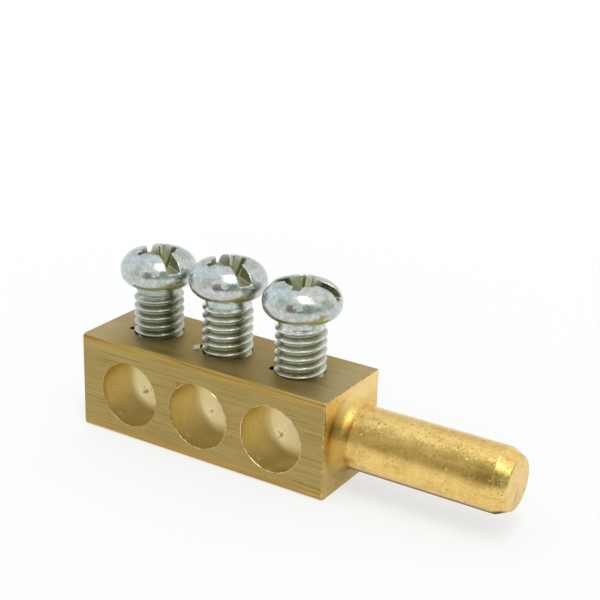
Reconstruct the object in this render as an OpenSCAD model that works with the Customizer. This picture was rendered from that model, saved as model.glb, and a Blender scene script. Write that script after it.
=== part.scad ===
// Neutral terminal block: a square brass bar with a connecting pin turned on one end,
// blind wire holes drilled in its front face, and a clamp screw standing over each hole.
// The origin is the centre of the bar's underside. +X points to the pin's tip,
// the wire holes open to -Y, and the screws are driven down along -Z.

/* [Bar] */
// Length of the bar along X, without the pin
bar_length = 22.7; // [20:0.1:40]
// Side of the bar's square section
bar_side = 8; // [7:0.1:12]
// Radius of the bar's four long edges
bar_edge_r = 0.3; // [0.1:0.05:0.6]

/* [Connecting pin] */
// Diameter of the pin
pin_dia = 5; // [3:0.1:6]
// Length of the pin from the bar's end face to its tip
pin_length = 13.6; // [6:0.1:25]
// Radius of the fillet at the pin's root
pin_fillet_r = 0.9; // [0.1:0.05:1.2]
// Least flat left on the bar's end beside the fillet
root_land = 0.2; // [0.1:0.05:0.3]
// Length of the taper at the pin's tip
tip_taper_length = 1.1; // [0.3:0.1:2]
// How much the taper takes off the pin's radius
tip_taper_depth = 0.5; // [0.1:0.05:1]

/* [Wire holes] */
// Distance from one wire hole to the next
hole_pitch = 6.7; // [6.3:0.1:7.2]
// Diameter of a wire hole
wire_bore = 5.3; // [4.2:0.1:5.8]
// How far the wire holes' axes lie below the middle of the bar
wire_drop = 0.2; // [0:0.05:0.4]
// Depth of a wire hole's full diameter
wire_depth = 3.4; // [2.5:0.1:4.5]
// Point angle of the drills, in degrees
drill_angle = 118; // [100:1:140]

/* [Clamp screws] */
// Outside diameter of the screw thread
screw_dia = 4; // [3:0.1:4.5]
// Length of a screw below its head
screw_length = 5.65; // [5:0.05:10]
// Distance from one crest of the thread to the next
thread_pitch = 0.7; // [0.5:0.05:1]
// Depth of the thread, on the radius
thread_depth = 0.43; // [0.2:0.01:0.6]
// Chamfer on the end of a screw
screw_tip_chamfer = 0.4; // [0.1:0.05:0.8]
// How much smaller the plain neck under a head is than the thread, on the radius
neck_relief = 0.2; // [0.05:0.05:0.4]
// Length of the plain neck under a head
neck_length = 0.5; // [0.2:0.1:1]
// How far each screw stands in its tapped hole
screw_engaged = [1.5, 1, 1.2]; // [0.7:0.1:2]
// How each screw is turned about its axis, in degrees
screw_turn = [-29, -29, 14]; // [-90:1:90]
// How far the deepest screw can still be driven in
drive_in = 1.45; // [1:0.05:2]
// Radial clearance of a screw in its tapped hole
thread_clearance = 0.05; // [0.02:0.01:0.1]
// Gap left under a screw that is driven right in
tip_gap = 0.05; // [0.02:0.01:0.2]
// Chamfer round the mouth of a tapped hole
tap_chamfer = 0.05; // [0.05:0.05:0.3]

/* [Screw heads] */
// Diameter of a head
head_dia = 6.1; // [5.4:0.1:6.4]
// Height of a head
head_height = 2.95; // [2.5:0.05:3.2]
// Radius of the edge under a head
head_edge_r = 1.15; // [0.3:0.05:1.2]
// Radius of the shoulder between a head's edge and its dome
head_shoulder_r = 1.55; // [0.8:0.05:1.7]
// Least rise of the dome above its shoulder
dome_rise = 0.25; // [0.2:0.05:0.5]
// Least width of the flat land under a head
head_land = 0.05; // [0.02:0.01:0.1]

/* [Screw recess] */
// Width of the slot across a head
slot_width = 1; // [0.7:0.05:1.2]
// Depth of the slot below the crown
slot_depth = 1.3; // [0.8:0.05:1.5]
// Depth of the cross recess below the crown
cross_depth = 2.1; // [1.5:0.05:2.2]
// Span of the cross over two opposite wings, at the crown
cross_span = 4; // [3.4:0.1:4.4]
// Span of the cross at its bottom
cross_foot = 1.4; // [0.8:0.1:1.6]
// Width of a wing where it leaves the core
wing_root = 0.8; // [0.7:0.05:1]
// Width of a wing at its outer end
wing_end = 0.6; // [0.4:0.05:0.7]
// Diameter of the recess's tapered core at the crown
core_top = 2.8; // [2:0.1:3.2]
// Diameter of the core at its bottom
core_foot = 1.3; // [0.8:0.1:1.6]

/* [Hidden] */

$fn = 96;
brass = [0.71, 0.58, 0.30];
zinc = [0.74, 0.77, 0.74];
cut_past = 1;
arc_steps = 8;

hole_count = len(screw_engaged);
hole_x = [for (i = [0 : hole_count - 1]) (i - (hole_count - 1) / 2) * hole_pitch];
wire_z = bar_side / 2 - wire_drop;
wire_point = wire_bore / 2 / tan(drill_angle / 2);
screw_r = screw_dia / 2;
neck_r = screw_r - neck_relief;
root_r = screw_r - thread_depth;
crest_flat = thread_pitch / 8;
root_flat = thread_pitch / 4;
flank = (thread_pitch - crest_flat - root_flat) / 2;
thread_foot = screw_tip_chamfer - screw_length;
thread_top = -neck_length - neck_relief;
groove_count = floor((thread_top - thread_foot - crest_flat) / thread_pitch);
tap_bore = screw_dia + 2 * thread_clearance;
tap_depth = max(screw_engaged) + drive_in + tip_gap;
pin_r = pin_dia / 2;
tip_r = pin_r - tip_taper_depth;
fillet_r = min(pin_fillet_r, bar_side / 2 - pin_r - root_land);

head_r = head_dia / 2;
edge_r = min(head_edge_r, head_r - neck_r - head_land);
over_edge = head_height - edge_r;
shoulder_r = min(head_shoulder_r, over_edge - dome_rise);
shoulder_x = head_r - shoulder_r;
dome_r = (shoulder_x ^ 2 + over_edge ^ 2 - shoulder_r ^ 2) / (2 * (over_edge - shoulder_r));
dome_z = head_height - dome_r;
shoulder_end = atan2(edge_r - dome_z, shoulder_x);

// Points along an arc, from one angle to another
function arc(centre, r, from, to) =
    [for (i = [0 : arc_steps]) let (a = from + (to - from) * i / arc_steps)
        centre + r * [cos(a), sin(a)]];

// Section of the drawn bar: a square with rounded corners
module bar_section() {
    square([bar_side - 2 * bar_edge_r, bar_side], center = true);
    square([bar_side, bar_side - 2 * bar_edge_r], center = true);
    for (y = [-1, 1], z = [-1, 1])
        translate([y, z] * (bar_side / 2 - bar_edge_r)) circle(bar_edge_r);
}

module bar() {
    translate([-bar_length / 2, 0, bar_side / 2])
        rotate([90, 0, 90]) linear_extrude(bar_length) bar_section();
}

// The pin with its root fillet and tapered tip, turned about X
module pin() {
    translate([bar_length / 2, 0, bar_side / 2]) rotate([0, 90, 0]) rotate_extrude()
        difference() {
            polygon([
                [0, -cut_past], [pin_r + fillet_r, -cut_past], [pin_r + fillet_r, fillet_r],
                [pin_r, fillet_r], [pin_r, pin_length - tip_taper_length],
                [tip_r, pin_length], [0, pin_length]
            ]);
            translate([pin_r + fillet_r, fillet_r]) circle(fillet_r);
        }
}

// What the drill takes out of the front face, with its conical point
module wire_hole(x) {
    translate([x, -bar_side / 2, wire_z]) rotate([-90, 0, 0]) rotate_extrude()
        polygon([
            [0, -cut_past], [wire_bore / 2, -cut_past], [wire_bore / 2, wire_depth],
            [0, wire_depth + wire_point]
        ]);
}

// What drill and tap take out of the top face, with a chamfered mouth
module tapped_hole(x) {
    mouth_r = tap_bore / 2 + tap_chamfer;
    translate([x, 0, bar_side]) rotate_extrude()
        polygon([
            [0, -tap_depth], [tap_bore / 2, -tap_depth], [tap_bore / 2, -tap_chamfer],
            [mouth_r, 0], [mouth_r, cut_past], [0, cut_past]
        ]);
}

module terminal_body() {
    color(brass) difference() {
        union() {
            bar();
            pin();
        }
        for (x = hole_x) {
            wire_hole(x);
            tapped_hole(x);
        }
    }
}

// Outline of one groove of the thread below its upper crest, from its lower edge to its upper one
function groove(top) = [
    [screw_r, top + crest_flat - thread_pitch], [root_r, top - flank - root_flat],
    [root_r, top - flank], [screw_r, top]
];

// Head, rounded under its edge and domed on top, with a plain neck, and a shank whose thread is cut as rings
module screw_blank() {
    rotate_extrude() polygon(concat(
        [[0, -screw_length], [screw_r - screw_tip_chamfer, -screw_length], [screw_r, thread_foot]],
        [for (i = [groove_count - 1 : -1 : 0]) each groove(thread_top - crest_flat - i * thread_pitch)],
        [[screw_r, thread_top], [neck_r, -neck_length], [neck_r, 0]],
        arc([head_r - edge_r, edge_r], edge_r, -90, 0),
        arc([shoulder_x, edge_r], shoulder_r, 0, shoulder_end),
        arc([0, dome_z], dome_r, shoulder_end, 90)
    ));
}

// Two opposite wings: tapered in plan, and running in towards the bottom
module wing_pair() {
    top = head_height + cut_past;
    foot = head_height - cross_depth;
    intersection() {
        linear_extrude(top) polygon([
            [-cross_span / 2, -wing_end / 2], [0, -wing_root / 2], [cross_span / 2, -wing_end / 2],
            [cross_span / 2, wing_end / 2], [0, wing_root / 2], [-cross_span / 2, wing_end / 2]
        ]);
        rotate([90, 0, 0]) linear_extrude(wing_root, center = true) polygon([
            [-cross_span / 2, top], [-cross_span / 2, head_height], [-cross_foot / 2, foot],
            [cross_foot / 2, foot], [cross_span / 2, head_height], [cross_span / 2, top]
        ]);
    }
}

// Slot right across the head, and a cross recess with a tapered core
module drive_recess() {
    translate([-head_dia, -slot_width / 2, head_height - slot_depth])
        cube([2 * head_dia, slot_width, slot_depth + cut_past]);
    translate([0, 0, head_height - cross_depth])
        cylinder(h = cross_depth, d1 = core_foot, d2 = core_top);
    for (turn = [0, 90]) rotate(turn) wing_pair();
}

module clamp_screw(i) {
    color(zinc)
        translate([hole_x[i], 0, bar_side + screw_length - screw_engaged[i]])
            rotate(screw_turn[i]) difference() {
                screw_blank();
                drive_recess();
            }
}

terminal_body();
clamp_screw(0);  // clamp_screw_1
clamp_screw(1);  // clamp_screw_2
clamp_screw(2);  // clamp_screw_3
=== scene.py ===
import math

import bpy
from mathutils import Matrix, Vector, noise


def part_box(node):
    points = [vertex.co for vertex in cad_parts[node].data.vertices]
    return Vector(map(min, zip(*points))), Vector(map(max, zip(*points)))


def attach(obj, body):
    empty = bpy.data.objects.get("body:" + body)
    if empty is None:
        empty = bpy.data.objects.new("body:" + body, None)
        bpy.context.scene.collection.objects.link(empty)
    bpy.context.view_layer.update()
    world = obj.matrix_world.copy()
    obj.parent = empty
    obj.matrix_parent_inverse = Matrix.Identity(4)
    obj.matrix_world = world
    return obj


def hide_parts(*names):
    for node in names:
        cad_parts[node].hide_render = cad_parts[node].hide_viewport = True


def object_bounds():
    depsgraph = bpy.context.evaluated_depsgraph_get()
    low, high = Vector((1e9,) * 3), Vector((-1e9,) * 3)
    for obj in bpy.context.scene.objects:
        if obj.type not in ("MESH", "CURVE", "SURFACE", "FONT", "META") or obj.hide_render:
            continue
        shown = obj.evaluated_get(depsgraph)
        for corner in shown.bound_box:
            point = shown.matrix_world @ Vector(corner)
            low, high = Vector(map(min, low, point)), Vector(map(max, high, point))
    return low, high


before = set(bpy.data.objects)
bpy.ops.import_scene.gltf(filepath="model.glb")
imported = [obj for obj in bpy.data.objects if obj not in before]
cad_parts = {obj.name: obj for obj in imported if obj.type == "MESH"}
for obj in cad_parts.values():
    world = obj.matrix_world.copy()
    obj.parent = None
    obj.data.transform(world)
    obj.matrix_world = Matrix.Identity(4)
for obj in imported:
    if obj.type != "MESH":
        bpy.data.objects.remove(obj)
cad_low, cad_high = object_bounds()
MM = 0.001

# Camera
# It stands to the right of the front and a little above the part, with a slight roll.
# The picture is square, so one lens angle holds for both of its sides.
camera_place = Vector((55.42, -80.14, 49.59)) * MM
camera_azimuth, camera_elevation, camera_roll = 31.41, 20.93, 1.85
camera_lens = 81
camera_turn = (Matrix.Rotation(math.radians(camera_azimuth), 4, "Z")
               @ Matrix.Rotation(math.radians(90 - camera_elevation), 4, "X")
               @ Matrix.Rotation(math.radians(camera_roll), 4, "Z"))
bpy.ops.object.camera_add(location=camera_place, rotation=camera_turn.to_euler())
camera = bpy.context.object
camera.data.lens = camera_lens
camera.data.clip_start = MM
bpy.context.scene.camera = camera
bpy.context.scene.view_settings.view_transform = "Standard"

# Brass terminal body: the bar
# A length of drawn square bar with rounded long edges, cut off square at both ends.
# The cut ends are only just broken at their edges.
body_low, body_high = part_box("terminal_body")
bar_side = body_high.z
bar_length = 22.7 * MM
bar_end = body_low.x + bar_length
bar_edge = 0.3 * MM
end_edge = 0.1 * MM
merge_gap = 0.0005 * MM


def only(piece):
    """Selects one piece and nothing else."""
    bpy.ops.object.select_all(action="DESELECT")
    piece.select_set(True)
    bpy.context.view_layer.objects.active = piece


def pick_edges(piece, wanted):
    """Goes into edit mode with those edges selected whose two end points are wanted."""
    only(piece)
    bpy.ops.object.mode_set(mode="EDIT")
    bpy.ops.mesh.select_mode(type="EDGE")
    bpy.ops.mesh.select_all(action="DESELECT")
    bpy.ops.object.mode_set(mode="OBJECT")
    for edge in piece.data.edges:
        edge.select = wanted(*(piece.data.vertices[i].co for i in edge.vertices))
    bpy.ops.object.mode_set(mode="EDIT")


def bevel_edges(piece, wanted, width, segments):
    """Rounds those edges of a piece whose two end points are wanted."""
    pick_edges(piece, wanted)
    bpy.ops.mesh.bevel(offset=width, offset_type="OFFSET", segments=segments, profile=0.5)
    bpy.ops.object.mode_set(mode="OBJECT")


bpy.ops.object.select_all(action="DESELECT")
bpy.ops.mesh.primitive_cube_add(size=1, location=(body_low.x + bar_length / 2, 0, bar_side / 2),
                                scale=(bar_length, bar_side, bar_side))
body = bpy.context.object
body.name = "brass_terminal_body"
bpy.ops.object.transform_apply(location=True, rotation=True, scale=True)
bevel_edges(body, lambda a, b: abs(a.x - b.x) > bar_length / 2, bar_edge, 5)
bevel_edges(body, lambda a, b: abs(a.x - b.x) < merge_gap, end_edge, 2)

# Brass terminal body: the connecting pin
# The bar's right end is turned down to a round pin, with a fillet at its root and a tapered tip.
# Its outline is drawn point by point and spun about the pin's axis.
pin_r = 2.5 * MM
pin_length = body_high.x - bar_end
pin_fillet = 0.9 * MM
tip_taper = 1.1 * MM
tip_r = 2 * MM
taper_soft = 0.4 * MM
tip_soft = 0.2 * MM
into_bar = 1 * MM
round_steps = 128


def rounded(corners, steps=6):
    """Points of an outline given by its corners, each (across, along, radius of its rounding)."""
    points = [Vector(corners[0][:2])]
    for before, corner, after in zip(corners, corners[1:], corners[2:]):
        tip, radius = Vector(corner[:2]), corner[2]
        if radius == 0:
            points.append(tip)
            continue
        back = (Vector(before[:2]) - tip).normalized()
        on = (Vector(after[:2]) - tip).normalized()
        half = back.angle(on) / 2
        centre = tip + (back + on).normalized() * radius / math.sin(half)
        start = tip + back * radius / math.tan(half) - centre
        end = tip + on * radius / math.tan(half) - centre
        points += [centre + start.slerp(end, i / steps) * radius for i in range(steps + 1)]
    return points + [Vector(corners[-1][:2])]


def draw_outline(name, points):
    """Draws an outline, each point (distance from the Z axis, height), by extruding one vertex on."""
    bpy.ops.object.select_all(action="DESELECT")
    bpy.ops.mesh.primitive_plane_add(size=MM)
    piece = bpy.context.object
    piece.name = name
    bpy.ops.object.mode_set(mode="EDIT")
    bpy.ops.mesh.select_mode(type="VERT")
    bpy.ops.mesh.select_all(action="SELECT")
    bpy.ops.mesh.merge(type="CENTER")
    bpy.ops.transform.translate(value=(points[0][0], 0, points[0][1]))
    for here, there in zip(points, points[1:]):
        step = (there[0] - here[0], 0, there[1] - here[1])
        bpy.ops.mesh.extrude_vertices_move(TRANSFORM_OT_translate={"value": step})
    bpy.ops.object.mode_set(mode="OBJECT")
    return piece


def lathe(name, points):
    """Spins an outline about the Z axis into a closed solid."""
    piece = draw_outline(name, points)
    bpy.ops.object.mode_set(mode="EDIT")
    bpy.ops.mesh.select_all(action="SELECT")
    bpy.ops.mesh.spin(steps=round_steps, angle=2 * math.pi, center=(0, 0, 0), axis=(0, 0, 1))
    bpy.ops.mesh.select_all(action="SELECT")
    bpy.ops.mesh.remove_doubles(threshold=merge_gap)
    bpy.ops.mesh.normals_make_consistent(inside=False)
    bpy.ops.object.mode_set(mode="OBJECT")
    return piece


def put(piece, place, turn=(0, 0, 0)):
    """Turns a piece, sets it in its place and leaves that in its mesh."""
    only(piece)
    piece.rotation_euler = turn
    piece.location = place
    bpy.ops.object.transform_apply(location=True, rotation=True, scale=True)


def combine(piece, other, operation):
    """Joins another solid to a piece or takes it away from it, and removes the other."""
    boolean = piece.modifiers.new("combine", "BOOLEAN")
    boolean.operation = operation
    boolean.object = other
    boolean.solver = "EXACT"
    only(piece)
    bpy.ops.object.modifier_apply(modifier=boolean.name)
    bpy.data.objects.remove(other)


pin = lathe("pin", rounded([
    (0, -into_bar, 0), (pin_r + pin_fillet, -into_bar, 0), (pin_r + pin_fillet, 0, 0),
    (pin_r, 0, pin_fillet), (pin_r, pin_length - tip_taper, taper_soft), (tip_r, pin_length, tip_soft),
    (0, pin_length, 0)]))
put(pin, (bar_end, 0, bar_side / 2), (0, math.pi / 2, 0))
combine(body, pin, "UNION")

# Brass terminal body: the holes
# Three blind wire holes are drilled in the front, and the drill has thrown up an uneven burr round them.
# A tapped hole comes down from the top into each, and the tap has torn a nick in its mouth. At the second
# hole a flake of swarf still hangs on the top, and the burr is notched.
hole_pitch = 6.7 * MM
hole_places = [-hole_pitch, 0, hole_pitch]
wire_r = 2.65 * MM
wire_z = 3.8 * MM
wire_depth = 3.4 * MM
drill_angle = math.radians(118)
drill_point = wire_r / math.tan(drill_angle / 2)
drill_soft = 1.1 * MM
tap_r = 2.02 * MM
tap_depth = 3 * MM
lip_width = 0.1 * MM
lip_height = 0.03 * MM
past = 1 * MM
nick_places = [(-2.05 * MM, -0.76 * MM), (-1.95 * MM, -0.5 * MM), (-1.8 * MM, -0.8 * MM)]
nick_sizes = [0.3 * MM, 0.36 * MM, 0.42 * MM]
flake_place = (-2.1 * MM, -1.25 * MM, bar_side + 0.14 * MM)
flake_size = (0.6 * MM, 0.42 * MM, 0.1 * MM)
flake_turn = (0.5, -0.35, 0.5)
notch_place = (-1.78 * MM, body_low.y, wire_z + 2.13 * MM)
notch_size = 0.26 * MM
rim = 0.07 * MM
rim_find = 0.002 * MM
burr_heights = [0.02 * MM, 0.06 * MM, 0.05 * MM]
burr_grain = 7
for x, nick_place, nick_size in zip(hole_places, nick_places, nick_sizes):
    drill = lathe("drill", rounded([(0, -past, 0), (wire_r, -past, 0), (wire_r, wire_depth, drill_soft),
                                    (0, wire_depth + drill_point, 0)]))
    put(drill, (x, body_low.y, wire_z), (-math.pi / 2, 0, 0))
    combine(body, drill, "DIFFERENCE")
    lip = lathe("lip", [(0, -lip_width), (tap_r + lip_width, -lip_width), (tap_r + lip_width, 0),
                        (tap_r + lip_width / 2, lip_height), (0, lip_height)])
    put(lip, (x, 0, bar_side))
    combine(body, lip, "UNION")
    tap = lathe("tap", [(0, -tap_depth), (tap_r, -tap_depth), (tap_r, past), (0, past)])
    put(tap, (x, 0, bar_side))
    combine(body, tap, "DIFFERENCE")
    nick = lathe("nick", [(0, -past), (nick_size / 2, -past), (nick_size, 0), (nick_size, past), (0, past)])
    put(nick, (x + nick_place[0], nick_place[1], bar_side))
    combine(body, nick, "DIFFERENCE")


def off_axis(point, x):
    """Distance of a point from the axis of the wire hole at x."""
    return math.hypot(point.x - x, point.z - wire_z)


def on_rim(point):
    """Whether a point lies on the sharp edge of a wire hole."""
    at_front = abs(point.y - body_low.y) < merge_gap
    return at_front and any(abs(off_axis(point, x) - wire_r) < rim_find for x in hole_places)


def in_rim(point):
    """Whether a point lies on the broken edge of a wire hole."""
    at_front = point.y < body_low.y + rim + merge_gap
    return at_front and any(-merge_gap < off_axis(point, x) - wire_r < rim + merge_gap for x in hole_places)


bevel_edges(body, lambda a, b: on_rim(a) and on_rim(b), rim, 4)
for vertex in body.data.vertices:
    for number, (x, height) in enumerate(zip(hole_places, burr_heights)):
        outward = (off_axis(vertex.co, x) - wire_r) / rim
        if vertex.co.y < body_low.y + rim and 0 < outward < 1:
            around = Vector((vertex.co.x - x, vertex.co.z - wire_z, number * MM)) / MM
            uneven = 0.5 + noise.noise(around * burr_grain / 2) + noise.noise(around * burr_grain) / 2
            vertex.co.y -= height * max(uneven, 0) * math.sin(math.pi * outward)
notch = lathe("notch", [(0, -past), (notch_size, -past), (notch_size, 0), (0, 2 * notch_size)])
put(notch, notch_place, (-math.pi / 2, 0, 0))
combine(body, notch, "DIFFERENCE")
bpy.ops.object.select_all(action="DESELECT")
bpy.ops.mesh.primitive_cube_add(size=1, location=flake_place, rotation=flake_turn, scale=flake_size)
combine(body, bpy.context.object, "UNION")

# Brass terminal body: its finish
# The drawn faces are dull olive brass with fine lengthwise scratches, and warmer along their long edges.
# Pin and end face are turned bright and pitted, with painted shade, light, reflections and glints. The drill
# has left rings in the holes, where light and shade are painted too, and burrs are brighter towards the
# right. Places are in millimetres here.
end_x = bar_end / MM
tip_x = body_high.x / MM
front_y = body_low.y / MM
top_z = bar_side / MM
half_side = top_z / 2
half_pitch = hole_pitch / 2 / MM
body_sharp = 35


def feed(tree, node, inputs):
    """Sets or links the inputs of a node."""
    for name, value in inputs.items():
        if isinstance(value, bpy.types.NodeSocket):
            tree.links.new(value, node.inputs[name])
        else:
            node.inputs[name].default_value = value


def add(tree, kind, inputs=None, **options):
    """Adds a shader node with its options and inputs."""
    node = tree.nodes.new("ShaderNode" + kind)
    for name, value in options.items():
        setattr(node, name, value)
    feed(tree, node, inputs or {})
    return node


def maths(tree, operation, *values):
    """Works out one value from others."""
    return add(tree, "Math", dict(enumerate(values)), operation=operation).outputs[0]


def times(tree, first, *others):
    """The product of values."""
    for other in others:
        first = maths(tree, "MULTIPLY", first, other)
    return first


def plus(tree, first, second):
    return maths(tree, "ADD", first, second)


def minus(tree, first, second):
    return maths(tree, "SUBTRACT", first, second)


def most(tree, first, second):
    """The greater of two values."""
    return maths(tree, "MAXIMUM", first, second)


def size_of(tree, value):
    """A value without its sign."""
    return maths(tree, "ABSOLUTE", value)


def off_line(tree, first, second):
    """Distance from a line, from the two places across it."""
    squares = [maths(tree, "POWER", value, 2.0) for value in (first, second)]
    return maths(tree, "SQRT", plus(tree, *squares))


def off_point(tree, place, point):
    """Distance from a point."""
    return add(tree, "VectorMath", {0: place, 1: point}, operation="DISTANCE").outputs["Value"]


def spread(tree, value, low, high, to_low=0.0, to_high=1.0):
    """Maps a value from one range to another, and holds it there."""
    return add(tree, "MapRange", {"Value": value, "From Min": low, "From Max": high,
                                  "To Min": to_low, "To Max": to_high}).outputs[0]


def mixed(tree, share, first, second):
    """Mixes a share of a second colour into a first."""
    return add(tree, "Mix", {0: share, 6: first, 7: second}, data_type="RGBA").outputs[2]


def layered(tree, colour, *layers):
    """Lays colours over a first one, each (its share, the colour)."""
    for share, over in layers:
        colour = mixed(tree, share, colour, over)
    return colour


def stretched(tree, place, x, y, z):
    """Scales a place along each axis, so that a pattern there has so many grains to the millimetre."""
    return add(tree, "VectorMath", {0: place, 1: (x, y, z)}, operation="MULTIPLY").outputs[0]


def joined(tree, x, y, z):
    """Makes a place of three values."""
    return add(tree, "CombineXYZ", {0: x, 1: y, 2: z}).outputs[0]


def cloud(tree, place, scale, detail, roughness=0.5):
    """A cloudy pattern, from about 0.3 to 0.7."""
    return add(tree, "TexNoise", {"Vector": place, "Scale": scale, "Detail": detail,
                                  "Roughness": roughness}).outputs[0]


def new_group(name, inputs, outputs):
    """An empty shader node group, and what its input node gives. Each input is (name, socket type)."""
    group = bpy.data.node_groups.new(name, "ShaderNodeTree")
    for label, kind in inputs:
        group.interface.new_socket(label, in_out="INPUT", socket_type=kind)
    for label in outputs:
        group.interface.new_socket(label, in_out="OUTPUT", socket_type="NodeSocketFloat")
    return group, group.nodes.new("NodeGroupInput").outputs


def close_group(group, outputs):
    """Links what a group gives."""
    feed(group, group.nodes.new("NodeGroupOutput"), outputs)


# Tool marks run along one direction of a stretched space: a fine grain, broad bands and single hairlines.
marks_group, taken = new_group("tool_marks", [("Vector", "NodeSocketVector")], ["Grain", "Bands", "Hairs"])
grain = cloud(marks_group, taken["Vector"], 1.0, 3.0, 0.6)
bands = cloud(marks_group, taken["Vector"], 0.17, 2.0)
hairs = size_of(marks_group, minus(marks_group, cloud(marks_group, taken["Vector"], 0.4, 1.0), 0.5))
close_group(marks_group, {"Grain": spread(marks_group, grain, 0.36, 0.64),
                          "Bands": spread(marks_group, bands, 0.3, 0.7),
                          "Hairs": spread(marks_group, hairs, 0.0, 0.04, 1.0, 0.0)})

# Pits are small spots, one in some of the cells of a random pattern.
pits_group, taken = new_group("pits", [("Vector", "NodeSocketVector"), ("Size", "NodeSocketFloat"),
                                       ("Share", "NodeSocketFloat")], ["Pits"])
cells = add(pits_group, "TexVoronoi", {"Vector": taken["Vector"], "Scale": 1.0}).outputs
draw = add(pits_group, "SeparateColor", {0: cells["Color"]}).outputs[0]
chosen = maths(pits_group, "LESS_THAN", draw, taken["Share"])
near = spread(pits_group, cells["Distance"], taken["Size"], 0.0)
close_group(pits_group, {"Pits": times(pits_group, near, chosen)})


def use_group(tree, group, **inputs):
    """Places a group in a material, and gives its outputs."""
    node = tree.nodes.new("ShaderNodeGroup")
    node.node_tree = group
    feed(tree, node, inputs)
    return node.outputs


def tool_marks(tree, place, *grains):
    """Tool marks with so many grains to the millimetre along each axis."""
    return use_group(tree, marks_group, Vector=stretched(tree, place, *grains))


def pits(tree, place, grains, size, share):
    """Pits of a size in a share of the cells, with so many cells to the millimetre along each axis."""
    return use_group(tree, pits_group, Vector=stretched(tree, place, *grains), Size=size, Share=share)["Pits"]


def new_metal(name):
    """A metal material: its node tree, its shader, and the place on the object, whole and by axis."""
    material = bpy.data.materials.new(name)
    material.use_nodes = True
    tree = material.node_tree
    shader = tree.nodes["Principled BSDF"]
    shader.inputs["Metallic"].default_value = 1.0
    place = add(tree, "VectorMath", {0: add(tree, "TexCoord").outputs["Object"], "Scale": 1 / MM},
                operation="SCALE").outputs[0]
    return material, tree, shader, place, add(tree, "SeparateXYZ", {0: place}).outputs


def finish(tree, shader, colour, roughness, height, depth):
    """Links a metal's colour and roughness, and presses a height pattern into its surface."""
    bump = add(tree, "Bump", {"Height": height, "Strength": 0.6, "Distance": depth})
    feed(tree, shader, {"Base Color": colour, "Roughness": roughness, "Normal": bump.outputs[0]})


# Drawn brass: gilt along the long edges, stain and painted shade round the screws, paler towards the ends of
# the top.
olive = (0.31, 0.225, 0.065, 1)
pale_olive = (0.50, 0.375, 0.14, 1)
gilt = (0.34, 0.21, 0.045, 1)
pale_gilt = (0.60, 0.40, 0.10, 1)
stain_and_screw_shade = (0.11, 0.088, 0.036, 1)
top_end_pale = (0.60, 0.50, 0.30, 1)
score = (0.15, 0.10, 0.03, 1)
drawn_pit = (0.10, 0.065, 0.025, 1)
nick_shade_dark = (0.02, 0.015, 0.01, 1)
drawn, tree, shader, place, (x, y, z) = new_metal("drawn_brass")
marks = tool_marks(tree, place, 0.16, 11.0, 11.0)
patches = cloud(tree, stretched(tree, place, 0.25, 0.5, 0.5), 1.0, 3.0)
specks = pits(tree, place, (1.6, 1.6, 1.6), 0.14, 0.16)
inset_y = minus(tree, half_side, size_of(tree, y))
inset_z = minus(tree, half_side, size_of(tree, minus(tree, z, half_side)))
on_top = spread(tree, z, top_z - 0.15, top_z - 0.03)
ragged = times(tree, minus(tree, marks["Bands"], 0.5), 0.5)
inset = plus(tree, most(tree, inset_y, inset_z), ragged)
worn = spread(tree, plus(tree, inset, times(tree, on_top, 0.4)), 0.8, 0.5)
tone = plus(tree, times(tree, marks["Grain"], 0.7), times(tree, spread(tree, patches, 0.3, 0.7), 0.3))
# Painted shade: the top is darker round the screws, besides a random stain.
from_screw = off_line(tree, maths(tree, "WRAP", x, half_pitch, -half_pitch), y)
stained_and_shaded = plus(tree, spread(tree, from_screw, 4.0, 2.2, -0.05, 0.12),
               times(tree, minus(tree, patches, 0.5), 0.8))
off_centre = size_of(tree, x)
# The top grows paler towards its ends.
outer = spread(tree, off_centre, 7.5, 10.5, 0.0, 0.4)
scored = times(tree, marks["Hairs"], spread(tree, patches, 0.4, 0.6))
under_top = times(tree, spread(tree, z, top_z - 0.02, top_z - 0.1), spread(tree, z, half_side, half_side + 1))
# Painted shade: the walls of the nicks under the top are painted nearly black.
nick_shade = times(tree, under_top, spread(tree, inset_y, 0.5, 0.6), spread(tree, off_centre, 11.0, 10.5))
colour = layered(tree, mixed(tree, tone, olive, pale_olive),
                 (times(tree, worn, 0.8), mixed(tree, marks["Grain"], gilt, pale_gilt)),
                 (times(tree, on_top, stained_and_shaded), stain_and_screw_shade), (times(tree, on_top, outer), top_end_pale),
                 (times(tree, scored, 0.5), score), (specks, drawn_pit), (nick_shade, nick_shade_dark))
rough = plus(tree, spread(tree, marks["Grain"], 0, 1, 0.32, 0.46), times(tree, on_top, 0.12))
height = minus(tree, marks["Grain"], plus(tree, scored, specks))
finish(tree, shader, colour, rough, height, 0.008 * MM)

# Turned brass: a painted dark reflection band along the pin's front with painted glints, darker by its tip,
# and painted shade, light and reflections at its root, under it and on the end face.
gold = (0.74, 0.49, 0.12, 1)
pale_gold = (0.95, 0.69, 0.27, 1)
brown_gold = (0.45, 0.28, 0.06, 1)
dark_reflection_gold = (0.38, 0.25, 0.055, 1)
tip_brown = (0.28, 0.18, 0.04, 1)
root_reflection_gold = (0.46, 0.29, 0.04, 1)
root_brown = (0.22, 0.13, 0.03, 1)
end_painted_shade = (0.48, 0.35, 0.13, 1)
end_painted_light = (1.0, 0.84, 0.46, 1)
groove_shade_brown = (0.2, 0.12, 0.03, 1)
underside_shade_brown = (0.30, 0.18, 0.06, 1)
plain_sheen = (1, 1, 1, 1)
underside_shade_tint = (0.15, 0.09, 0.03, 1)
painted_glint_gold = (0.98, 0.82, 0.36, 1)
turned_pit = (0.24, 0.13, 0.03, 1)
turned, tree, shader, place, (x, y, z) = new_metal("turned_brass")
up = minus(tree, z, half_side)
radius = off_line(tree, y, up)
around = maths(tree, "ARCTAN2", up, times(tree, y, -1.0))
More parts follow.
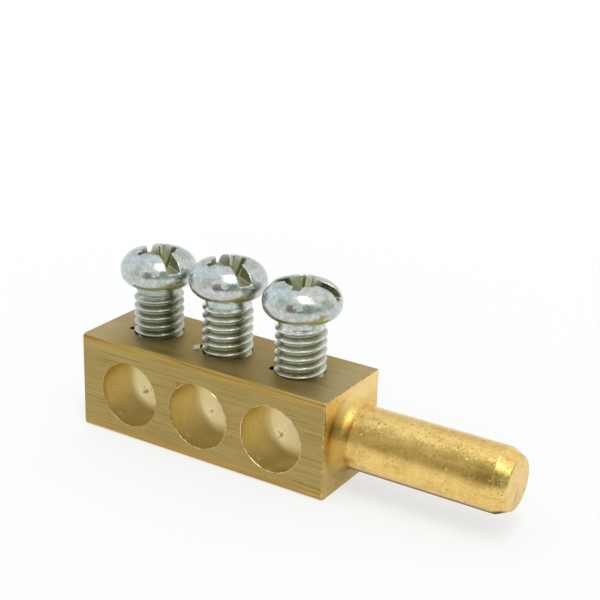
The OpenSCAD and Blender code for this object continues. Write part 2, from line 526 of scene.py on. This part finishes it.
unrolled = joined(tree, x, times(tree, around, pin_r / MM), radius)
rings = tool_marks(tree, unrolled, 3.0, 0.3, 9.0)
hammered = cloud(tree, place, 4.5, 4.0, 0.65)
mottles = cloud(tree, stretched(tree, unrolled, 0.5, 1.3, 0.5), 1.0, 4.0, 0.65)
# Painted glints: bright golden specks in the dark band.
painted_glints = pits(tree, place, (2.4, 2.4, 2.4), 0.34, 0.12)
pitted = most(tree, pits(tree, unrolled, (2.6, 3.4, 3.0), 0.32, 0.4),
              pits(tree, place, (1.7, 1.7, 1.7), 0.2, 0.3))
tone = plus(tree, times(tree, spread(tree, hammered, 0.35, 0.65), 0.7), times(tree, rings["Grain"], 0.3))
along = times(tree, spread(tree, x, end_x + 0.4, end_x + 1.2), spread(tree, x, tip_x - 0.1, tip_x - 0.6))
# Painted reflection: a darker band along the pin's front stands in for the darker surroundings it mirrors.
wavering = plus(tree, around, spread(tree, hammered, 0.3, 0.7, -0.12, 0.12))
band = times(tree, spread(tree, wavering, 0.05, 0.32), spread(tree, wavering, 1.0, 0.8))
dark_reflection_band = times(tree, along, band)
not_behind = spread(tree, around, -2.4, -1.6)
near_root = spread(tree, x, end_x + 6, end_x + 1, 0.35, 0.75)
# Painted shade: the pin's underside near its root is darker, on top of the random mottling.
painted_shade_below = times(tree, spread(tree, around, -0.75, -1.1), near_root, not_behind)
mottles_and_shade = plus(tree, spread(tree, mottles, 0.5, 0.68, 0.0, 0.4), painted_shade_below)
dark_reflection_share = times(tree, dark_reflection_band, spread(tree, mottles, 0.35, 0.65, 0.5, 0.82))
off_tip = size_of(tree, minus(tree, x, tip_x - 1.7))
by_tip = times(tree, spread(tree, off_tip, 0.8, 0.5, 0.0, 0.3), band)
in_front = times(tree, spread(tree, around, -1.3, -0.9), spread(tree, around, 1.1, 0.7))
# Painted reflection: the front of the fillet is made darker and more golden, as if mirroring the pin.
root_reflection = times(tree, spread(tree, x, end_x + 1.1, end_x + 0.7), in_front,
                spread(tree, radius, 3.95, 3.6, 0.25, 0.65))
by_root = times(tree, spread(tree, x, end_x + 1.1, end_x + 0.9), spread(tree, radius, 3.7, 3.4))
upper_shade = times(tree, spread(tree, wavering, 0.2, 0.36), spread(tree, wavering, 0.72, 0.56))
lower_shade = times(tree, spread(tree, wavering, -0.75, -0.95), spread(tree, wavering, -1.6, -1.4))
root_shade = times(tree, by_root, most(tree, upper_shade, lower_shade), 0.6)
# Painted shade and light: the end face is darker below the pin and paler above it.
on_end = spread(tree, x, end_x + 0.3, end_x + 0.05)
# Painted shade: a dark line where the fillet runs into the pin, as in a tool groove.
off_tool_end = size_of(tree, minus(tree, x, end_x + pin_fillet / MM + 0.1))
groove_shade = times(tree, spread(tree, off_tool_end, 0.16, 0.04), band, 0.6)
# Painted shade: the pin's underside is darker, like the shadowed floor it mirrors.
underside_shade = times(tree, along, spread(tree, around, -0.64, -0.88, 0.0, 0.85), not_behind)
colour = layered(tree, mixed(tree, tone, gold, pale_gold),
                 (mottles_and_shade, brown_gold), (dark_reflection_share, dark_reflection_gold), (by_tip, tip_brown), (root_reflection, root_reflection_gold),
                 (root_shade, root_brown),
                 (times(tree, on_end, spread(tree, up, -1.0, -2.4, 0.0, 0.7)), end_painted_shade),
                 (times(tree, on_end, spread(tree, up, 1.8, 2.8, 0.0, 0.45)), end_painted_light),
                 (groove_shade, groove_shade_brown), (underside_shade, underside_shade_brown), (times(tree, painted_glints, dark_reflection_band), painted_glint_gold),
                 (times(tree, pitted, 0.85), turned_pit))
# Painted shade: the underside's reflections are also tinted dark.
feed(tree, shader, {"Specular Tint": mixed(tree, underside_shade, plain_sheen, underside_shade_tint)})
rough = plus(tree, spread(tree, hammered, 0.35, 0.65, 0.2, 0.34),
             spread(tree, x, end_x + 1.2, end_x + 0.6, 0.0, 0.2))
height = minus(tree, plus(tree, hammered, times(tree, rings["Grain"], 0.12)), pitted)
finish(tree, shader, colour, rough, height, 0.02 * MM)

# Drilled brass: rings from the drill, painted light on the cone and lower wall, painted shade on the upper
# and lower right wall, a crumb of dirt and a painted glint in each hole.
drill_gold = (0.76, 0.615, 0.255, 1)
pale_drill_gold = (0.97, 0.82, 0.41, 1)
painted_light_gold = (1.0, 0.91, 0.61, 1)
shaded_drill = (0.46, 0.35, 0.11, 1)
painted_glint_bright = (1.0, 0.93, 0.7, 1)
dirt_brown = (0.27, 0.16, 0.02, 1)
crumb_place = (-1.35, 3.75, -1.5)
glint_place = (-1.42, 0.65, -2.22)
drilled, tree, shader, place, (x, y, z) = new_metal("drilled_brass")
across = maths(tree, "WRAP", x, half_pitch, -half_pitch)
deep = minus(tree, y, front_y)
up = minus(tree, z, wire_z / MM)
rings = tool_marks(tree, joined(tree, x, y, off_line(tree, across, up)), 0.4, 7.0, 7.0)
cloudy = cloud(tree, place, 1.4, 3.0)
crumbly = cloud(tree, place, 3.0, 2.0)
specks = pits(tree, place, (1.3, 1.3, 1.3), 0.16, 0.3)
in_hole = joined(tree, across, deep, up)
from_crumb = plus(tree, off_point(tree, in_hole, crumb_place), times(tree, crumbly, 1.6))
# Painted glint: a small pale spot of reflection on the lower left wall near the mouth.
from_glint = plus(tree, off_point(tree, in_hole, glint_place), times(tree, crumbly, 0.4))
dirt = most(tree, specks, spread(tree, from_crumb, 1.02, 0.84))
tone = plus(tree, times(tree, rings["Grain"], 0.55), times(tree, spread(tree, cloudy, 0.3, 0.7), 0.45))
# Painted light: the cone and the deeper lower wall are paler. Painted shade darkens the upper and lower right
# wall.
lit_wall = times(tree, spread(tree, deep, 0.5, 2.6), spread(tree, up, 1.2, -0.2))
painted_light = most(tree, spread(tree, deep, 2.9, 3.5), lit_wall)
low_wall = times(tree, spread(tree, up, -1.3, -2.2), spread(tree, across, -1.7, -0.6))
shaded = times(tree, most(tree, low_wall, spread(tree, up, 0.6, 1.8)), spread(tree, deep, 3.3, 2.9))
colour = layered(tree, mixed(tree, tone, drill_gold, pale_drill_gold),
                 (times(tree, painted_light, 0.8), painted_light_gold), (times(tree, shaded, 0.45), shaded_drill),
                 (times(tree, spread(tree, from_glint, 0.5, 0.3), 0.8), painted_glint_bright),
                 (times(tree, dirt, 0.65), dirt_brown))
rough = plus(tree, spread(tree, deep, 0.5, 2.5, 0.36, 0.5), times(tree, rings["Grain"], 0.08))
finish(tree, shader, colour, rough, minus(tree, rings["Grain"], specks), 0.01 * MM)

# Burred brass: the hole rims and the end's edge, brighter towards the right, and the flake of swarf.
burr_brown = (0.46, 0.325, 0.10, 1)
burr_pale = (0.88, 0.72, 0.38, 1)
flake_white = (0.95, 0.95, 0.9, 1)
lip_top = (bar_side + lip_height) / MM
burred, tree, shader, place, (x, _, z) = new_metal("burred_brass")
lumps = cloud(tree, place, 3.0, 2.0)
# The rims grow brighter towards the right, and the end's edge is darker.
tone_along_bar = plus(tree, spread(tree, x, -3.4, 3.4, -0.08, 0.12), spread(tree, x, 10.5, 11, 0.0, -0.2))
tone = spread(tree, plus(tree, lumps, tone_along_bar), 0.45, 0.7)
colour = layered(tree, mixed(tree, tone, burr_brown, burr_pale),
                 (spread(tree, z, lip_top, lip_top + 0.02), flake_white))
finish(tree, shader, colour, spread(tree, lumps, 0.3, 0.7, 0.2, 0.4), lumps, 0.01 * MM)

finishes = [drawn, turned, drilled, burred]
for material in finishes:
    body.data.materials.append(material)
for face in body.data.polygons:
    centre = face.center
    at_edge = abs(centre.x - bar_end + end_edge / 2) < end_edge / 2 - merge_gap
    on_face = abs(centre.z - bar_side) < merge_gap
    within_drill = body_low.y + rim / 2 < centre.y < body_low.y + wire_depth + drill_point + merge_gap
    in_drill = within_drill and any(off_axis(centre, place) < wire_r + rim for place in hole_places)
    in_tap = centre.z > wire_z and any(math.hypot(centre.x - place, centre.y) < tap_r + merge_gap
                                       for place in hole_places)
    if at_edge or in_rim(centre) or centre.z > bar_side + lip_height:
        material = burred
    elif centre.x > bar_end - merge_gap:
        material = turned
    elif not on_face and (in_drill or in_tap):
        material = drilled
    else:
        material = drawn
    face.material_index = finishes.index(material)


def smooth(piece, sharp):
    """Shades a piece smooth, but keeps edges sharp from an angle in degrees, and flat faces flat."""
    only(piece)
    bpy.ops.object.shade_smooth_by_angle(angle=math.radians(sharp))
    weighted = piece.modifiers.new("weighted", "WEIGHTED_NORMAL")
    weighted.keep_sharp = True
    bpy.ops.object.modifier_apply(modifier=weighted.name)


smooth(body, body_sharp)
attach(body, "body")
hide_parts("terminal_body")

# Clamp screws: the head
# A cold-headed steel head with a round edge and a low dome. A slot runs right across it, with a cross
# recess in the middle, and tumbling and plating have softened every edge.
head_r = 3.05 * MM
head_height = 2.95 * MM
edge_r = 1.15 * MM
shoulder_r = 1.55 * MM
shoulder_x = head_r - shoulder_r
over_edge = head_height - edge_r
dome_r = (shoulder_x ** 2 + over_edge ** 2 - shoulder_r ** 2) / (2 * (over_edge - shoulder_r))
dome_z = head_height - dome_r
shoulder_end = math.atan2(edge_r - dome_z, shoulder_x)
slot_width = 1 * MM
slot_depth = 1.3 * MM
cross_depth = 2.1 * MM
cross_span = 4 * MM
cross_foot = 1.4 * MM
wing_root = 0.8 * MM
wing_end = 0.6 * MM
core_top = 1.4 * MM
core_foot = 0.65 * MM
head_voxel = 0.045 * MM
core_steps = 64
tumbled = 12


def arc(centre, radius, start, end, steps=12):
    """Points along an arc, from one angle to another."""
    angles = [start + (end - start) * i / steps for i in range(steps + 1)]
    return [Vector((centre[0] + radius * math.cos(a), centre[1] + radius * math.sin(a))) for a in angles]


head = lathe("head", [Vector((0, 0))] + arc((head_r - edge_r, edge_r), edge_r, -math.pi / 2, 0)
             + arc((shoulder_x, edge_r), shoulder_r, 0, shoulder_end)
             + arc((0, dome_z), dome_r, shoulder_end, math.pi / 2))
bpy.ops.object.select_all(action="DESELECT")
bpy.ops.mesh.primitive_cube_add(size=1, location=(0, 0, head_height - slot_depth + past),
                                scale=(3 * head_r, slot_width, 2 * past))
combine(head, bpy.context.object, "DIFFERENCE")
bpy.ops.object.select_all(action="DESELECT")
bpy.ops.mesh.primitive_cone_add(vertices=core_steps, radius1=core_foot, radius2=core_top, depth=cross_depth,
                                location=(0, 0, head_height - cross_depth / 2))
combine(head, bpy.context.object, "DIFFERENCE")
for turn in (0, math.pi / 2):
    bpy.ops.object.select_all(action="DESELECT")
    bpy.ops.mesh.primitive_cube_add(size=1, scale=(cross_span, wing_root, cross_depth))
    wings = bpy.context.object
    bpy.ops.object.transform_apply(location=True, rotation=True, scale=True)
    bpy.ops.object.mode_set(mode="EDIT")
    bpy.ops.mesh.select_all(action="SELECT")
    bpy.ops.mesh.bisect(plane_co=(0, 0, 0), plane_no=(1, 0, 0))
    bpy.ops.object.mode_set(mode="OBJECT")
    for vertex in wings.data.vertices:
        if abs(vertex.co.x) > cross_span / 4:
            vertex.co.y *= wing_end / wing_root
        if vertex.co.z < 0:
            vertex.co.x *= cross_foot / cross_span
    put(wings, (0, 0, head_height - cross_depth / 2), (0, 0, turn))
    combine(head, wings, "DIFFERENCE")
remesh = head.modifiers.new("plating", "REMESH")
remesh.mode = "VOXEL"
remesh.voxel_size = head_voxel
only(head)
bpy.ops.object.modifier_apply(modifier=remesh.name)
soften = head.modifiers.new("soften", "SMOOTH")
soften.factor = 0.5
soften.iterations = tumbled
bpy.ops.object.modifier_apply(modifier=soften.name)

# Clamp screws: the thread
# An M4 thread is rolled on the shank, right-handed, with rounded crests and roots. It runs out into
# a short plain neck under the head, and the end is chamfered.
thread_pitch = 0.7 * MM
crest_r = 2 * MM
root_r = 1.56 * MM
neck_r = 1.8 * MM
neck_length = 0.5 * MM
run_out = 0.35 * MM
screw_length = 5.65 * MM
tip_chamfer = 0.45 * MM
into_head = 0.3 * MM
rolled_turns = 10
thread_steps = 72
axis_gap = 0.5 * MM
crest_flat = 0.12 * MM
root_flat = 0.16 * MM
thread_soft = 0.05 * MM
flank = (thread_pitch - crest_flat - root_flat) / 2
thread = draw_outline("thread", rounded([
    (root_r, 0, 0), (root_r, root_flat / 2, thread_soft), (crest_r, root_flat / 2 + flank, thread_soft),
    (crest_r, root_flat / 2 + flank + crest_flat, thread_soft),
    (root_r, thread_pitch - root_flat / 2, thread_soft), (root_r, thread_pitch, 0)], 3))
roll = thread.modifiers.new("roll", "SCREW")
roll.angle = 2 * math.pi
roll.screw_offset = thread_pitch
roll.iterations = rolled_turns
roll.steps = roll.render_steps = thread_steps
only(thread)
bpy.ops.object.modifier_apply(modifier=roll.name)
put(thread, (0, 0, -screw_length - thread_pitch))
bpy.ops.object.mode_set(mode="EDIT")
bpy.ops.mesh.select_all(action="SELECT")
bpy.ops.mesh.remove_doubles(threshold=merge_gap)
for height, direction in ((into_head, 1), (-screw_length, -1)):
    bpy.ops.mesh.select_all(action="SELECT")
    bpy.ops.mesh.bisect(plane_co=(0, 0, height), plane_no=(0, 0, direction), use_fill=True,
                        clear_outer=True, threshold=merge_gap)
bpy.ops.mesh.select_all(action="SELECT")
bpy.ops.mesh.normals_make_consistent(inside=False)
bpy.ops.object.mode_set(mode="OBJECT")


def held(value):
    """Holds a value between 0 and 1."""
    return min(max(value, 0), 1)


for vertex in thread.data.vertices:
    radius = math.hypot(vertex.co.x, vertex.co.y)
    plain = held((vertex.co.z + neck_length + run_out) / run_out)
    wanted = radius + (neck_r - radius) * plain
    wanted = min(wanted, crest_r - tip_chamfer + vertex.co.z + screw_length)
    if radius > axis_gap:
        vertex.co.x *= wanted / radius
        vertex.co.y *= wanted / radius

# Clamp screws: their finish and places
# Bright zinc plating, grainy and a little mottled, with a dull yellowish film left in recess and thread, and
# painted highlights on the thread's crests. The first shank is the dullest, darkened by painted shade. Each
# screw is a copy, backed out to its own height and turned its own way.
recess_start = 0.1 * MM
recess_full = 0.45 * MM
crest_edge = 6
screw_sharp = 50
zinc_grey = (0.44, 0.48, 0.45, 1)
zinc_pale = (0.61, 0.645, 0.615, 1)
crest_white = (0.92, 0.93, 0.88, 1)
grain_dark = (0.27, 0.30, 0.27, 1)
grain_pale = (0.90, 0.93, 0.92, 1)
zinc_pit = (0.25, 0.27, 0.23, 1)
recess_film = (0.35, 0.34, 0.17, 1)
thread_film = (0.34, 0.34, 0.20, 1)
shank_shade_grey = (0.20, 0.24, 0.18, 1)
first_neck_z = 12.0


def below_dome(point):
    """How far a point of the head lies below the top of the plain head, straight up."""
    radius = math.hypot(point.x, point.y)
    if radius >= head_r or point.z < edge_r and radius > core_top:
        return 0
    if radius < dome_r * math.cos(shoulder_end):
        return dome_z + math.sqrt(dome_r ** 2 - radius ** 2) - point.z
    return edge_r + math.sqrt(shoulder_r ** 2 - (radius - shoulder_x) ** 2) - point.z


def film(point):
    """How much film is left at a point of a screw: none on the worn outside, most in its hollows."""
    if point.z > -neck_length - run_out:
        return held((below_dome(point) - recess_start) / (recess_full - recess_start))
    return held((crest_r - math.hypot(point.x, point.y)) / (crest_r - root_r))


def crest_highlight_share(point):
    """How much painted highlight a point of a screw gets: the crests of its thread."""
    return held(1 - crest_edge * film(point)) if point.z < -neck_length else 0.0


zinc, tree, shader, place, (x, _, z) = new_metal("zinc_plating")
blotches = cloud(tree, place, 2.4, 4.0)
peel = cloud(tree, place, 3.5, 2.0)
sand = cloud(tree, place, 6.0, 2.0, 0.6)
uneven = cloud(tree, place, 1.3, 1.0)
specks = pits(tree, place, (2.4, 2.4, 2.4), 0.2, 0.25)
recess, valley, crest = (add(tree, "Attribute", attribute_name=name).outputs["Fac"]
                         for name in ("recess", "valley", "crest"))
# Painted shade: the first screw's shank is darker, as the heads and screws beside it shade it.
first_shank_shade = times(tree, spread(tree, x, -half_pitch, -half_pitch - 0.1, 0.0, 0.4),
                    spread(tree, z, first_neck_z + 0.2, first_neck_z))
colour = layered(tree, mixed(tree, spread(tree, blotches, 0.35, 0.65), zinc_grey, zinc_pale),
                 (times(tree, crest, 0.55), crest_white),
                 (spread(tree, sand, 0.52, 0.66, 0.0, 0.3), grain_dark),
                 (spread(tree, sand, 0.46, 0.34, 0.0, 0.2), grain_pale), (times(tree, specks, 0.4), zinc_pit),
                 (times(tree, recess, 0.8), recess_film),
                 (times(tree, spread(tree, valley, 0.1, 0.6), 0.8), thread_film), (first_shank_shade, shank_shade_grey))
rough = plus(tree, spread(tree, peel, 0.3, 0.7, 0.15, 0.27), times(tree, most(tree, recess, valley), 0.14))
height = plus(tree, times(tree, uneven, 4.0), plus(tree, peel, times(tree, sand, 0.4)))
finish(tree, shader, colour, rough, height, 0.01 * MM)

head_turns = [-29, -29, 14]
thread_turns = [-114, 146, 106]
for number, x in enumerate(hole_places, 1):
    node = f"clamp_screw_{number}"
    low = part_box(node)[0]
    copies = []
    for part, turns in ((head, head_turns), (thread, thread_turns)):
        only(part)
        bpy.ops.object.duplicate()
        copies.append(bpy.context.object)
        put(copies[-1], (0, 0, 0), (0, 0, math.radians(turns[number - 1])))
    screw, shank = copies
    combine(screw, shank, "UNION")
    screw.name = f"zinc_screw_{number}"
    points = [vertex.co for vertex in screw.data.vertices]
    for name, values in (("recess", [film(point) if point.z > 0 else 0.0 for point in points]),
                         ("valley", [film(point) if point.z < 0 else 0.0 for point in points]),
                         ("crest", [crest_highlight_share(point) for point in points])):
        attribute = screw.data.attributes.new(name, "FLOAT", "POINT")
        attribute.data.foreach_set("value", values)
    screw.data.materials.append(zinc)
    for face in screw.data.polygons:
        face.material_index = 0
    smooth(screw, screw_sharp)
    put(screw, (x, 0, low.z + screw_length))
    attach(screw, f"screw_{number}")
    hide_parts(node)
bpy.data.objects.remove(head)
bpy.data.objects.remove(thread)

# Floor and light
# A white floor in a white surround, with a large soft lamp overhead and a small one in front. Grey and
# tinted cards stand outside the picture and give the metal its contrast.
floor_side = 4
floor_white = (0.92, 0.92, 0.92, 1)
full_white = (1, 1, 1, 1)
surround_light = 0.75
shadow_reach = 25 * MM
white_from = 70 * MM
shadow_kept = 0.35


def seen_ray(tree):
    """One for what the camera sees, by itself or in metal or glass."""
    ray = add(tree, "LightPath").outputs
    return most(tree, most(tree, ray["Is Camera Ray"], ray["Is Glossy Ray"]), ray["Is Transmission Ray"])


bpy.ops.object.select_all(action="DESELECT")
bpy.ops.mesh.primitive_plane_add(size=floor_side)
floor = bpy.context.object
floor.name = "floor"
pale = bpy.data.materials.new("white_floor")
pale.use_nodes = True
tree = pale.node_tree
matt = tree.nodes["Principled BSDF"]
feed(tree, matt, {"Base Color": floor_white, "Roughness": 0.9, "Specular IOR Level": 0.0})
away = off_point(tree, add(tree, "TexCoord").outputs["Object"], (0, 0, 0))
share = spread(tree, away, shadow_reach, white_from, 1 - shadow_kept, 1.0)
white = add(tree, "Emission", {"Color": full_white, "Strength": 1.0})
both = add(tree, "MixShader", {0: times(tree, seen_ray(tree), share), 1: matt.outputs[0],
                               2: white.outputs[0]})
tree.links.new(both.outputs[0], tree.nodes["Material Output"].inputs["Surface"])
floor.data.materials.append(pale)

world = bpy.data.worlds.new("studio")
bpy.context.scene.world = world
world.use_nodes = True
tree = world.node_tree
ambient = tree.nodes["Background"]
feed(tree, ambient, {"Color": full_white, "Strength": surround_light})
white = add(tree, "Background", {"Color": full_white, "Strength": 1.0})
both = add(tree, "MixShader", {0: seen_ray(tree), 1: ambient.outputs[0], 2: white.outputs[0]})
tree.links.new(both.outputs[0], tree.nodes["World Output"].inputs["Surface"])


def facing(azimuth, elevation, distance):
    """Place and turn of something that looks at the part's middle from a direction, in degrees."""
    turn = (Matrix.Rotation(math.radians(azimuth), 4, "Z")
            @ Matrix.Rotation(math.radians(90 - elevation), 4, "X"))
    middle = (cad_low + cad_high) / 2
    return middle + turn @ Vector((0, 0, distance)), turn.to_euler()


for shape, azimuth, elevation, distance, width, height, power in (
        ("RECTANGLE", 44, 70, 0.4, 0.1, 0.27, 0.47),
        ("DISK", 22, 21, 0.2, 0.02, 0.02, 0.043)):
    place, turn = facing(azimuth, elevation, distance)
    bpy.ops.object.light_add(type="AREA", location=place, rotation=turn)
    lamp = bpy.context.object.data
    lamp.shape = shape
    lamp.size = width
    lamp.size_y = height
    lamp.energy = power

# A card's width and height are given as half angles, seen from the part's middle.
for name, azimuth, elevation, distance, wide, high, tone in (
        ("warm_card", 6, 11, 0.14, 20, 22, (0.27, 0.22, 0.23, 1)),
        ("dark_card", 32, 14, 0.13, 5, 20, (0.16, 0.22, 0.19, 1)),
        ("green_card", 46, 17, 0.14, 20, 24, (0.37, 0.47, 0.42, 1)),
        ("right_card", 80, 6, 0.15, 15, 18, (0.47, 0.53, 0.43, 1)),
        ("side_card", 112, 18, 0.25, 15, 24, (0.62, 0.68, 0.58, 1)),
        ("window", 66, 48, 0.3, 7, 8, (1.7, 1.7, 1.6, 1)),
        ("blue_card", -85, 40, 0.4, 35, 30, (0.92, 1.0, 1.12, 1)),
        ("grey_card", -38, 20, 0.3, 14, 26, (0.75, 0.75, 0.72, 1)),
        ("back_card", -149, 26, 0.4, 28, 20, (0.8, 0.8, 0.8, 1))):
    place, turn = facing(azimuth, elevation, distance)
    width = 2 * distance * math.tan(math.radians(wide))
    height = 2 * distance * math.tan(math.radians(high))
    bpy.ops.object.select_all(action="DESELECT")
    bpy.ops.mesh.primitive_plane_add(size=1, location=place, rotation=turn)
    card = bpy.context.object
    card.name = name
    card.scale = (width, height, 1)
    card.visible_camera = False
    card.visible_shadow = False
    cloth = bpy.data.materials.new(name)
    cloth.use_nodes = True
    tree = cloth.node_tree
    glow = add(tree, "Emission", {"Color": tone, "Strength": 1.0})
    tree.links.new(glow.outputs[0], tree.nodes["Material Output"].inputs["Surface"])
    card.data.materials.append(cloth)
